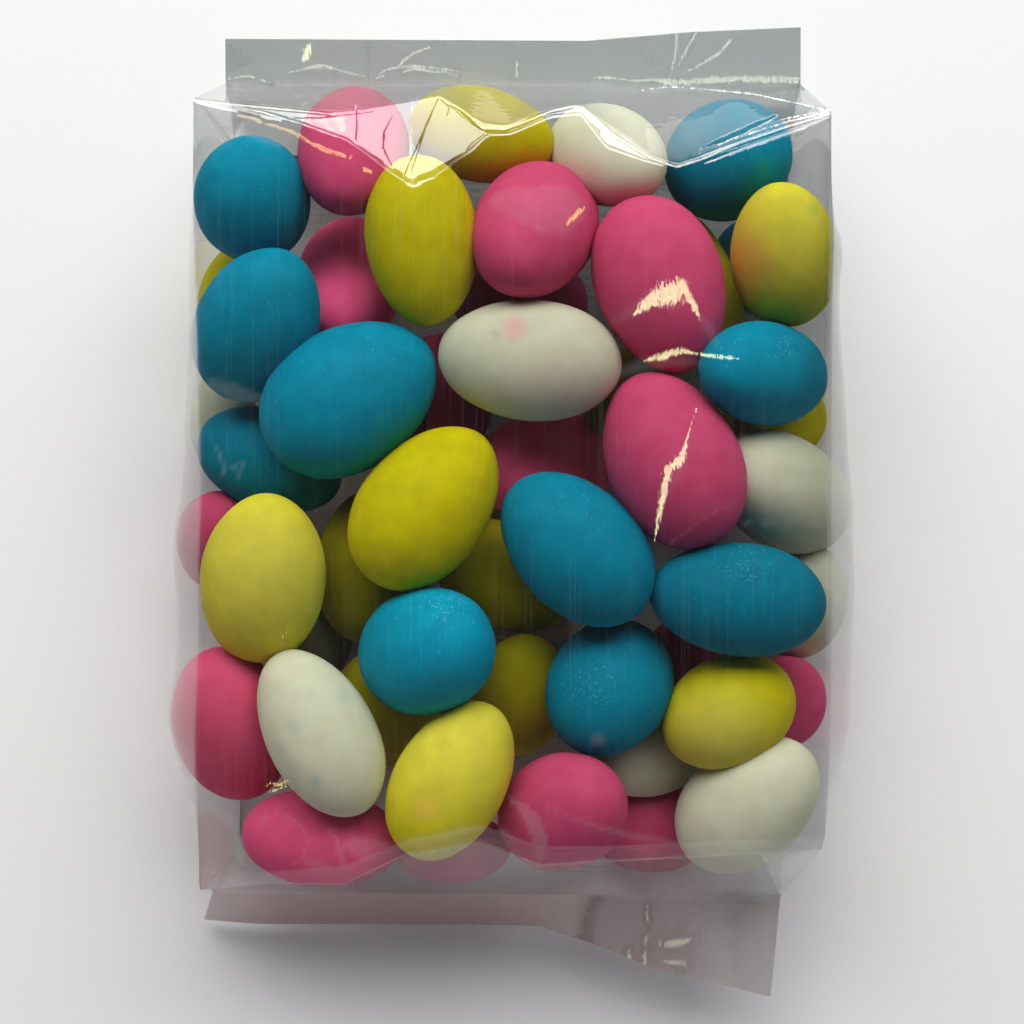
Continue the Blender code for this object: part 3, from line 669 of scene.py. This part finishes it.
# Where the front film is creased so finely that it glints, as strokes in the picture: points with the
# stroke's half width there. They are grouped by the colour that they send on from the light: the cool
# ridges of the top turn, the pale creases over the almonds, the dull ones in the end seals, and those
# that the almonds behind them make warm.
GLINTS = {
    "#ffffff": [
        [(370, 109, 0.4), (400, 104, 0.7), (440, 97, 0.8), (462, 110, 0.7), (483, 128, 1.0), (503, 129, 1.2),
         (520, 124, 0.9), (552, 111, 0.9), (575, 106, 1.0), (585, 110, 1.0), (612, 134, 0.7), (650, 158, 0.7),
         (676, 167, 1.0), (700, 160, 0.8), (740, 143, 0.8), (790, 126, 0.9), (829, 114, 0.9)],
        [(690, 158, 0.3), (730, 140, 0.8), (790, 121, 0.8), (829, 112, 0.9)],
        [(705, 165, 0.2), (750, 148, 0.5), (800, 131, 0.5), (829, 117, 0.4)],
        [(760, 124, 0.3), (829, 110, 0.6)],
        [(620, 93, 0.2), (668, 87, 0.4), (700, 89, 0.4), (752, 94, 0.5), (800, 104, 0.5), (828, 111, 0.8)],
        [(193, 100, 0.8), (225, 104, 0.7), (288, 110, 0.7), (330, 114, 0.4)],
        [(232, 107, 0.3), (262, 112, 0.6), (300, 124, 0.6), (336, 137, 0.6)],
    ],
    "#f2fbc8": [
        [(633, 316, 0.8), (645, 305, 5), (658, 297, 9), (670, 294, 12), (679, 290, 10)],
        [(682, 283, 3.5), (688, 296, 3.5), (694, 307, 3.5), (700, 319, 1)],
        [(644, 361, 0.6), (655, 358, 3), (663, 357, 4.2), (674, 352, 3.3), (681, 351, 2.8), (692, 353, 1.5),
         (704, 355, 1.7), (720, 357, 1.8), (732, 358, 1.5), (739, 359, 0.6)],
        [(697, 408, 0.5), (690, 428, 0.9), (686, 442, 1.4), (684, 453, 3), (678, 463, 5), (670, 467, 4.2),
         (666, 477, 3.8), (663, 494, 3.6), (660, 510, 3.0), (657, 528, 1.8), (654, 542, 0.4)],
        [(309, 46, 2.2), (308, 52, 5), (305, 59, 3.5)],
    ],
    "#a5aea2": [
        [(287, 73, 0.5), (300, 70, 1.1), (315, 67, 2.6), (323, 66, 2.2), (335, 69, 1.3), (349, 73, 1.3),
         (366, 77, 0.5)],
        [(379, 75, 0.9), (385, 70, 1.1), (396, 68, 1.2), (415, 66, 1.2), (434, 68, 1.3), (462, 72, 0.7)],
        [(398, 68, 1), (403, 61, 1.4), (415, 53, 1.6), (430, 47, 1.4)],
        [(403, 72, 0.8), (415, 69, 1.8), (430, 71, 1.2), (446, 73, 0.9), (459, 76, 0.6)],
        [(228, 79, 0.7), (249, 76, 1.1), (271, 83, 0.6)],
        [(377, 78, 1.3), (385, 76, 0.7)],
        [(517, 62, 1.2), (517, 77, 1.3)],
        [(593, 78, 1.0), (610, 78, 1.6), (633, 81, 1.2), (655, 80, 1.6), (668, 82, 3.6), (687, 82, 3),
         (713, 80, 3.4), (740, 79, 3.4), (767, 80, 3.9), (797, 80, 3.4)],
        [(677, 33, 1.6), (676, 53, 1.3), (672, 70, 0.7)],
        [(696, 33, 1.0), (685, 53, 1.3), (677, 67, 0.6)],
        [(732, 38, 1.4), (720, 53, 1.8), (700, 65, 1.4), (687, 72, 0.6)],
        [(722, 898, 0.8), (745, 899, 1.6), (763, 901, 2.0), (778, 904, 2.0)],
        [(648, 905, 1.0), (647, 915, 1.4), (648, 924, 0.6)],
        [(646, 935, 1.6), (646, 944, 1.6)],
        [(645, 951, 1.6), (645, 962, 2.7)],
        [(629, 949, 1.2), (629, 960, 2.6)],
        [(660, 938, 1.4), (660, 947, 1.5)],
        [(668, 944, 3.8), (680, 943, 5), (692, 938, 1.4)],
        [(663, 961, 1.8), (672, 963, 2.6), (683, 963, 3.8)],
    ],
    "#dcc468": [
        [(238, 117, 0.2), (255, 121, 0.5), (272, 127, 0.6), (296, 135, 0.7), (305, 141, 0.5), (314, 146, 0.6),
         (326, 152, 0.9), (340, 156, 0.6), (351, 158, 0.3)],
        [(361, 170, 0.3), (366, 171, 0.7), (371, 173, 0.3)],
        [(565, 228, 0.3), (569, 221, 1.8), (575, 217, 3.0), (581, 211, 1.5), (587, 205, 0.3)],
        [(293, 617, 0.2), (285, 634, 0.4), (277, 651, 0.2)],
        [(264, 787, 0.6), (271, 783, 1.4), (279, 785, 1.8), (288, 781, 1.2)],
        [(268, 792, 0.4), (276, 790, 1.3), (286, 786, 0.8)],
    ],
}

# Where its creases lean away from the light and stay dark, in the same way.
DARK_FOLDS = [
    [(356, 106, 0.5), (357, 122, 0.7), (356, 141, 0.6)],
    [(392, 117, 0.4), (384, 132, 0.9), (383, 148, 1.0), (392, 166, 0.5)],
    [(438, 99, 0.5), (429, 118, 0.6), (419, 142, 0.6), (408, 166, 0.7), (402, 181, 0.4)],
    [(436, 102, 0.3), (424, 134, 0.4), (411, 172, 0.6), (413, 185, 0.3)],
    [(441, 99, 0.6), (449, 108, 0.6), (447, 116, 0.3)],
    [(449, 105, 0.4), (468, 122, 0.5), (489, 133, 0.4)],
    [(484, 134, 0.4), (470, 145, 0.6), (462, 158, 0.6), (443, 172, 0.5), (424, 184, 0.3)],
    [(340, 141, 0.3), (352, 146, 0.6), (364, 153, 0.6), (380, 166, 0.5), (395, 180, 0.3)],
    [(290, 118, 0.5), (320, 118, 0.7), (372, 112, 0.4)],
    [(700, 149, 1.0), (722, 140, 3.0), (757, 124, 3.4), (776, 116, 1.2)],
]

# Veils of the front film in the same way: how much haze a stroke adds, how soft its edge is in picture
# units, and its points with their half widths.
VEILS = [
    (0.10, 2, [(226, 60, 16), (257, 60, 1)]),
    (0.16, 1, [(368, 42, 0.6), (368, 84, 0.6)]),
    (0.12, 1, [(677, 30, 0.8), (677, 84, 0.8)]),
    (0.10, 2, [(636, 46, 0.5), (657, 63, 2), (672, 78, 0.5)]),
    (0.16, 1, [(649, 866, 0.7), (648, 963, 0.7)]),
    (0.06, 3, [(684, 924, 2), (700, 921, 4), (713, 919, 1)]),
    (0.04, 4, [(700, 908, 2), (722, 907, 4), (745, 904, 2)]),
    (0.06, 3, [(213, 384, 6), (236, 394, 9), (258, 398, 3)]),
    (0.08, 1, [(212, 440, 0.8), (219, 452, 2), (225, 471, 1.2), (214, 480, 0.6)]),
    (0.07, 1, [(225, 471, 0.7), (243, 463, 2), (238, 480, 1)]),
    (0.06, 1, [(262, 845, 1), (261, 818, 1.2), (280, 813, 1.4), (300, 823, 1.4), (308, 842, 1.4),
               (303, 858, 1.2), (290, 866, 0.8)]),
    (0.08, 2, [(327, 826, 0.5), (337, 840, 2), (342, 860, 3), (344, 883, 1)]),
    (0.07, 2, [(352, 845, 8), (365, 850, 13), (385, 850, 8), (403, 852, 1)]),
    (0.06, 3, [(306, 862, 3), (325, 870, 8), (340, 879, 3)]),
    (0.09, 1, [(376, 874, 0.5), (407, 866, 0.8), (447, 847, 1), (476, 839, 1), (498, 841, 0.8),
               (520, 853, 0.6)]),
    (0.06, 4, [(400, 838, 1), (430, 842, 7), (465, 830, 7), (480, 826, 1)]),
    (0.12, 1, [(509, 798, 1), (520, 805, 4), (533, 820, 7), (540, 840, 7), (540, 858, 3)]),
    (0.11, 1, [(499, 830, 1), (507, 836, 3), (515, 843, 1)]),
    (0.06, 3, [(545, 806, 0.5), (577, 820, 1.5), (624, 834, 3), (680, 845, 3.5), (767, 856, 2)]),
    (0.06, 1, [(640, 855, 0.7), (770, 856, 0.7), (826, 848, 0.9)]),
    (0.04, 2, [(485, 207, 0.5), (518, 219, 1), (544, 232, 1.2), (562, 235, 1), (575, 228, 0.5)]),
    (0.06, 3, [(498, 200, 8), (520, 203, 16), (545, 208, 23), (562, 209, 22), (576, 208, 10)]),
    (0.04, 8, [(612, 322, 1), (632, 312, 5), (650, 300, 7)]),
    (0.06, 5, [(699, 316, 2), (708, 327, 5), (716, 344, 2)]),
    (0.06, 8, [(618, 374, 2), (640, 366, 6), (668, 360, 5), (700, 362, 2)]),
    (0.04, 8, [(690, 440, 2), (678, 470, 5), (665, 495, 3)]),
    (0.04, 1, [(668, 545, 0.5), (700, 521, 0.9), (741, 497, 0.6)]),
    (0.06, 1, [(745, 523, 0.7), (800, 524, 0.7), (846, 523, 1)]),
    (0.07, 3, [(745, 480, 2), (790, 484, 2), (822, 489, 1), (846, 523, 1)]),
    (0.05, 6, [(676, 118, 4), (694, 132, 14), (712, 112, 10), (730, 104, 3)]),
    (0.24, 2, [(193, 100, 0.3), (225, 106, 1.6), (262, 111, 4), (290, 116, 6)]),
    (0.10, 3, [(215, 96, 1), (250, 95, 4), (300, 93, 2)]),
    (0.22, 6, [(222, 112, 3), (240, 124, 8), (280, 138, 6)]),
    (0.28, 16, [(192, 812, 10), (202, 842, 34), (205, 864, 28)]),
]

# How far past a stroke the film's grid is made finer, in picture units, how often each edge is cut there,
# how much softer a wide glint's edge is, how high a crease stands, in millimetres, and how many picture
# units its rise takes.
FINE_MARGIN = 4.0
FINE_CUTS = 2
GLINT_SOFTNESS = 0.5
CREASE_HEIGHT = 0.10
CREASE_RISE = 5.0


def within(stroke, spots, softness=0.0):
    """How far inside a stroke each spot of the picture lies, and how far outside as a negative number. With
    some softness the distance counts less the wider the stroke is."""
    inside = np.full(len(spots), -np.inf)
    for (ax, ay, half_a), (bx, by, half_b) in zip(stroke, stroke[1:]):
        run = np.array([bx - ax, by - ay])
        share = np.clip((spots - [ax, ay]) @ run / (run @ run), 0, 1)
        away = np.linalg.norm(spots - [ax, ay] - share[:, None] * run, axis=1)
        half = half_a + (half_b - half_a) * share
        inside = np.maximum(inside, (half - away) / (1 + softness * (half - 1)))
    return inside


def deepest(strokes, spots, softness=0.0):
    """How far inside the nearest of some strokes each spot lies."""
    return np.max([within(stroke, spots, softness) for stroke in strokes], axis=0)


# Clear polypropylene film, drawn and heat sealed: nearly all light goes through. The eye sees a sharp
# gloss that grows at grazing angles, with a slight unevenness, a veil where the film is folded or sealed,
# and fine streaks along the bag from the drawing, drawn a little wider than the real ones so that they
# show. The mesh says where it is veiled, where it is crinkled so that its gloss leans to the light, and
# where a fold leans away from it. The edges of both fray along the streaks.
FILM_GLOSS = 0.08
FILM_ROUGHNESS = 0.07
GRAZING_RISE = 5.0
FILM_TINT = "#fafafa"
STREAK_SIZE, STREAK_RARITY, STREAK_HAZE = (0.22 * MM, 25.0 * MM, 50.0 * MM), (0.62, 0.78), 0.02
FRAY_SIZE = (0.16 * MM, 0.9 * MM, 2.0 * MM)
CRINKLE_SIZE, CRINKLE_HEIGHT, CRINKLE_STRENGTH = 1.2 * MM, 0.05 * MM, 0.5

# How many picture units the fray moves the edge of a glint and of a dark fold, and between which of them
# the edge lies.
GLINT_FRAY, GLINT_EDGE = 4.5, (1.95, 2.75)
FOLD_FRAY, FOLD_EDGE = 3.0, (1.0, 2.0)

# The veil: pinkish at the left of the bottom seal, a painted reflection of the pink almonds next to
# it, and grey at its right, bluish at the top, nearly white where it is thin. Then from where to where each
# gives way to the next: across the bag and along it in metres, and the haze at which it counts as thick.
FIN_HAZE_LEFT, FIN_HAZE_RIGHT, TOP_HAZE, THIN_VEIL = "#b5857f", "#bfb8b4", "#96a1a0", "#d6d6dc"
FIN_CHANGE, TOP_CHANGE, THICK_VEIL = (0.005, 0.035), (-0.05, 0.05), (0.08, 0.25)

# The crinkled film's slope towards the light: how much it sways, its least in the middle of the bag, and
# how much it changes for each metre along x and y. Then the way that a dark fold faces.
CRINKLE_SWAY = (0.5, 0.5, 0.0)
CRINKLE_LEAN = (-0.25, 0.198, 1.0)
LEAN_CHANGE = (-3.5, -3.25, 0.0)
FOLD_LEAN = (0.0, -0.26, 0.966)


def clear_film():
    """The material of the bag's film, with its haze and its glints from the mesh."""
    material, tree, output = new_material("clear_polypropylene_film")
    place = add(tree, "TexCoord").outputs["Object"]
    drawn = add(tree, "Mapping", {}, {"Vector": place, "Scale": [1 / size for size in STREAK_SIZE]})
    streaks = add(tree, "TexNoise", {}, {"Vector": drawn.outputs[0], "Scale": 1.0, "Detail": 0.0})
    streak = add(tree, "MapRange", {}, {"Value": streaks.outputs["Fac"], "From Min": STREAK_RARITY[0],
                                        "From Max": STREAK_RARITY[1], "To Max": STREAK_HAZE})
    veil = add(tree, "Attribute", {"attribute_name": "haze"})
    haze = add(tree, "Math", {"operation": "ADD", "use_clamp": True},
               {0: veil.outputs["Fac"], 1: streak.outputs["Result"]})
    along = add(tree, "SeparateXYZ", {}, {0: place})
    over = add(tree, "MapRange", {}, {"Value": along.outputs["X"], "From Min": FIN_CHANGE[0],
                                      "From Max": FIN_CHANGE[1]})
    # The pink of the bottom seal's left is a painted reflection of the pink almonds next to it.
    veil_colour = add(tree, "Mix", {"data_type": "RGBA"},
                      {"Factor": over.outputs["Result"], 6: linear(FIN_HAZE_LEFT), 7: linear(FIN_HAZE_RIGHT)})
    rise = add(tree, "MapRange", {}, {"Value": along.outputs["Y"], "From Min": TOP_CHANGE[0],
                                      "From Max": TOP_CHANGE[1]})
    veil_colour = add(tree, "Mix", {"data_type": "RGBA"},
                      {"Factor": rise.outputs["Result"], 6: veil_colour.outputs[2], 7: linear(TOP_HAZE)})
    thick = add(tree, "MapRange", {}, {"Value": veil.outputs["Fac"], "From Min": THICK_VEIL[0],
                                       "From Max": THICK_VEIL[1]})
    veil_colour = add(tree, "Mix", {"data_type": "RGBA"},
                      {"Factor": thick.outputs["Result"], 6: linear(THIN_VEIL), 7: veil_colour.outputs[2]})
    through = add(tree, "BsdfTransparent", {}, {"Color": linear(FILM_TINT)})
    milky = add(tree, "BsdfDiffuse", {}, {"Color": veil_colour.outputs[2]})
    sheet = add(tree, "MixShader", {}, {0: haze.outputs[0], 1: through.outputs[0], 2: milky.outputs[0]})
    crinkles = add(tree, "TexNoise", {}, {"Vector": place, "Scale": 1 / CRINKLE_SIZE, "Detail": 0.0})
    relief = add(tree, "Bump", {}, {"Height": crinkles.outputs["Fac"], "Strength": CRINKLE_STRENGTH,
                                    "Distance": CRINKLE_HEIGHT})
    frayed = add(tree, "Mapping", {}, {"Vector": place, "Scale": [1 / size for size in FRAY_SIZE]})
    fray = add(tree, "TexNoise", {}, {"Vector": frayed.outputs[0], "Scale": 1.0, "Detail": 1.0})
    glint = add(tree, "Attribute", {"attribute_name": "glint"})
    ragged = add(tree, "Math", {"operation": "MULTIPLY_ADD"},
                 {0: fray.outputs["Fac"], 1: GLINT_FRAY, 2: glint.outputs["Fac"]})
    crinkled = add(tree, "MapRange", {}, {"Value": ragged.outputs[0], "From Min": GLINT_EDGE[0],
                                          "From Max": GLINT_EDGE[1]})
    uneven = add(tree, "VectorMath", {"operation": "MULTIPLY_ADD"},
                 {0: fray.outputs["Fac"], 1: CRINKLE_SWAY, 2: CRINKLE_LEAN})
    lean = add(tree, "VectorMath", {"operation": "MULTIPLY_ADD"},
               {0: place, 1: LEAN_CHANGE, 2: uneven.outputs[0]})
    lean = add(tree, "VectorMath", {"operation": "NORMALIZE"}, {0: lean.outputs[0]})
    fold = add(tree, "Attribute", {"attribute_name": "fold"})
    ragged = add(tree, "Math", {"operation": "MULTIPLY_ADD"},
                 {0: fray.outputs["Fac"], 1: FOLD_FRAY, 2: fold.outputs["Fac"]})
    folded_back = add(tree, "MapRange", {}, {"Value": ragged.outputs[0], "From Min": FOLD_EDGE[0],
                                             "From Max": FOLD_EDGE[1]})
    faces = add(tree, "Mix", {"data_type": "VECTOR"},
                {"Factor": folded_back.outputs["Result"], 4: relief.outputs["Normal"], 5: FOLD_LEAN})
    faces = add(tree, "Mix", {"data_type": "VECTOR"},
                {"Factor": crinkled.outputs["Result"], 4: faces.outputs[1], 5: lean.outputs[0]})
    facing = add(tree, "LayerWeight", {}, {"Blend": 0.5})
    grazing = add(tree, "Math", {"operation": "POWER"}, {0: facing.outputs["Facing"], 1: GRAZING_RISE})
    mirror = add(tree, "MapRange", {}, {"Value": grazing.outputs[0], "To Min": FILM_GLOSS})
    shine = add(tree, "Attribute", {"attribute_name": "shine"})
    gloss = add(tree, "BsdfAnisotropic", {}, {"Color": shine.outputs["Color"], "Roughness": FILM_ROUGHNESS,
                                              "Normal": faces.outputs[1]})
    surface = add(tree, "MixShader", {},
                  {0: mirror.outputs["Result"], 1: sheet.outputs[0], 2: gloss.outputs[0]})
    tree.links.new(surface.outputs[0], output.inputs["Surface"])
    return material


# How near each other the sheet's two edges are to be joined, in millimetres.
JOINING_DISTANCE = 0.001


def film_tube(film, haze):
    """The film as one closed tube: a sheet of squares moved to the film's place, its edges joined, and its
    ends shut, front to back and then the gussets between them."""
    film = np.concatenate([film, film[:, :1]], axis=1)
    haze = np.concatenate([haze, haze[:, :1]], axis=1).ravel()
    rows, columns = film.shape[:2]
    mesh = bmesh.new()
    veil, front = mesh.verts.layers.float.new("haze"), mesh.verts.layers.float.new("front")
    side = np.append(round_the_bag, 0.0)
    on_front = np.tile((side <= 1) * 1.0 - ((side >= 2) & (side <= 3)), rows)
    bmesh.ops.create_grid(mesh, x_segments=columns - 1, y_segments=rows - 1, size=0.5)
    points = (film.reshape(-1, 3) - [0.0, BAG_MIDDLE_Y, 0.0]) * MM
    for vert, point, amount, shown in zip(mesh.verts, points, haze, on_front):
        vert.co = point
        vert[veil], vert[front] = amount, shown
    sealed = np.repeat(np.isin(places, [0, 1, 6, 7]), columns)
    for edge in mesh.edges:
        start, end = (vert.index for vert in edge.verts)
        edge.smooth = not (sealed[start] and sealed[end] and start // columns == end // columns)
    open_verts = [vert for vert in mesh.verts if vert.is_boundary]
    bmesh.ops.remove_doubles(mesh, verts=open_verts, dist=JOINING_DISTANCE * MM)
    for end in (-1, 1):
        bmesh.ops.bridge_loops(mesh, edges=[edge for edge in mesh.edges if edge.is_boundary
                                            and min(end * v.co.y for v in edge.verts) > 0
                                            and abs(sum(v[front] for v in edge.verts)) > 1.99])
    ends = bmesh.ops.holes_fill(mesh, edges=[edge for edge in mesh.edges if edge.is_boundary], sides=0)
    bmesh.ops.triangulate(mesh, faces=ends["faces"])
    return mesh


def spots_of(verts):
    """Where vertices are seen in the picture, as rows of an array."""
    return np.array([seen_at(vert.co / MM) for vert in verts])


def crease(mesh):
    """Makes the front film finer along its glints and folds, presses the creases up and marks them and the
    veils."""
    glint, fold = (mesh.verts.layers.float.new(name) for name in ("glint", "fold"))
    shine = mesh.verts.layers.float_color.new("shine")
    veil, front = mesh.verts.layers.float["haze"], mesh.verts.layers.float["front"]
    groups, tints = [*GLINTS.values(), DARK_FOLDS], [linear(colour) for colour in GLINTS]
    shown = [vert for vert in mesh.verts if vert[front] > 0.99]
    depths = deepest(sum(groups, []), spots_of(shown))
    near = {vert for vert, depth in zip(shown, depths) if depth > -FINE_MARGIN}
    bmesh.ops.subdivide_edges(mesh, edges=[edge for edge in mesh.edges if near.issuperset(edge.verts)],
                              cuts=FINE_CUTS, use_grid_fill=True)
    shown = [vert for vert in mesh.verts if vert[front] > 0.99]
    spots = spots_of(shown)
    *depths, fold_depths = [np.maximum(deepest(strokes, spots, GLINT_SOFTNESS), -FINE_MARGIN)
                            for strokes in groups]
    veils = sum(amount * np.clip(0.5 + within(stroke, spots) / soft, 0, 1)
                for amount, soft, stroke in VEILS)
    for vert in mesh.verts:
        vert[glint], vert[fold], vert[shine] = -FINE_MARGIN, -FINE_MARGIN, tints[0]
    for vert, depth, tint, fold_depth, amount in zip(shown, np.max(depths, axis=0), np.argmax(depths, axis=0),
                                                     fold_depths, veils):
        vert[glint], vert[fold], vert[shine] = depth, fold_depth, tints[tint]
        vert[veil] += amount
        vert.co.z += CREASE_HEIGHT * MM * min(max(1 + depth / CREASE_RISE, 0.0), 1.0) ** 2
    bmesh.ops.recalc_face_normals(mesh, faces=mesh.faces)
    return mesh


bag = finished(crease(film_tube(film, haze)), "film", clear_film())
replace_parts(bag, "bag")


# The floor: a plain pale table top of matt painted board, wide enough to fill every view.

FLOOR_SIZE = 4.0
floor_mesh = bmesh.new()
bmesh.ops.create_grid(floor_mesh, x_segments=1, y_segments=1, size=FLOOR_SIZE / 2)
floor_paint, floor_tree, floor_output = new_material("matt_white_board")
paint = add(floor_tree, "BsdfDiffuse", {}, {"Color": linear("#eeeeee")})
floor_tree.links.new(paint.outputs[0], floor_output.inputs["Surface"])
floor = finished(floor_mesh, "floor", floor_paint)


# The light: a large soft panel beyond the top of the bag with a warmer square in its middle, a low card
# before the bottom of the bag that lightens the lower almonds, and a pale surround that is darkest
# overhead.

# Each lamp: its place and the point that it faces, in metres, its width and height, its power and its colour.
LIGHT_LEAN = math.radians(46)
LIGHT_WAY = Vector((0.0, math.sin(LIGHT_LEAN), math.cos(LIGHT_LEAN)))
LAMPS = {
    "soft_panel": (LIGHT_WAY * 0.75, (0.0, 0.0, 0.0), 1.20, 0.40, 9.2, "#ffffff"),
    "warm_square": (LIGHT_WAY * 0.73, (0.0, 0.0, 0.0), 0.14, 0.14, 0.25, "#fffbb8"),
    "low_card": (Vector((0.0, -0.20, 0.10)), (0.0, -0.03, 0.02), 0.45, 0.16, 0.09, "#ece6f4"),
}
# The surround: its strength at the sides and overhead, and between which heights it dims.
SURROUND, OVERHEAD = 0.24, 0.02
DIMMING = (0.35, 0.85)

for name, (place, aim, width, height, power, colour) in LAMPS.items():
    lamp = bpy.data.lights.new(name, "AREA")
    lamp.shape = "RECTANGLE"
    lamp.size = width
    lamp.size_y = height
    lamp.energy = power
    lamp.color = linear(colour)[:3]
    panel = bpy.data.objects.new(name, lamp)
    panel.location = place
    panel.rotation_mode = "QUATERNION"
    panel.rotation_quaternion = (place - Vector(aim)).to_track_quat("Z", "Y")
    panel.visible_camera = False
    bpy.context.scene.collection.objects.link(panel)

surround = bpy.data.worlds.new("pale_surround")
surround.use_nodes = True
sky = surround.node_tree.nodes["Background"]
outlook = add(surround.node_tree, "TexCoord").outputs["Generated"]
upward = add(surround.node_tree, "SeparateXYZ", {}, {0: outlook}).outputs["Z"]
dimmed = add(surround.node_tree, "MapRange", {}, {"Value": upward, "From Min": DIMMING[0],
                                                  "From Max": DIMMING[1], "To Min": SURROUND,
                                                  "To Max": OVERHEAD})
surround.node_tree.links.new(dimmed.outputs[0], sky.inputs["Strength"])
sky.inputs["Color"].default_value = linear("#eef0f4")
bpy.context.scene.world = surround
bpy.context.scene.view_settings.view_transform = "Standard"


# The camera: straight above the bag, as far off as the picture shows it.

SENSOR_WIDTH = 36.0
eye = bpy.data.cameras.new("camera")
eye.sensor_width = SENSOR_WIDTH
eye.lens = SENSOR_WIDTH * EYE_SCALE / (2 * PICTURE_MIDDLE)
eye.clip_start = 0.01
camera = bpy.data.objects.new("camera", eye)
camera.location = (0.0, -BAG_MIDDLE_Y * MM, EYE_HEIGHT * MM)
bpy.context.scene.collection.objects.link(camera)
bpy.context.scene.camera = camera
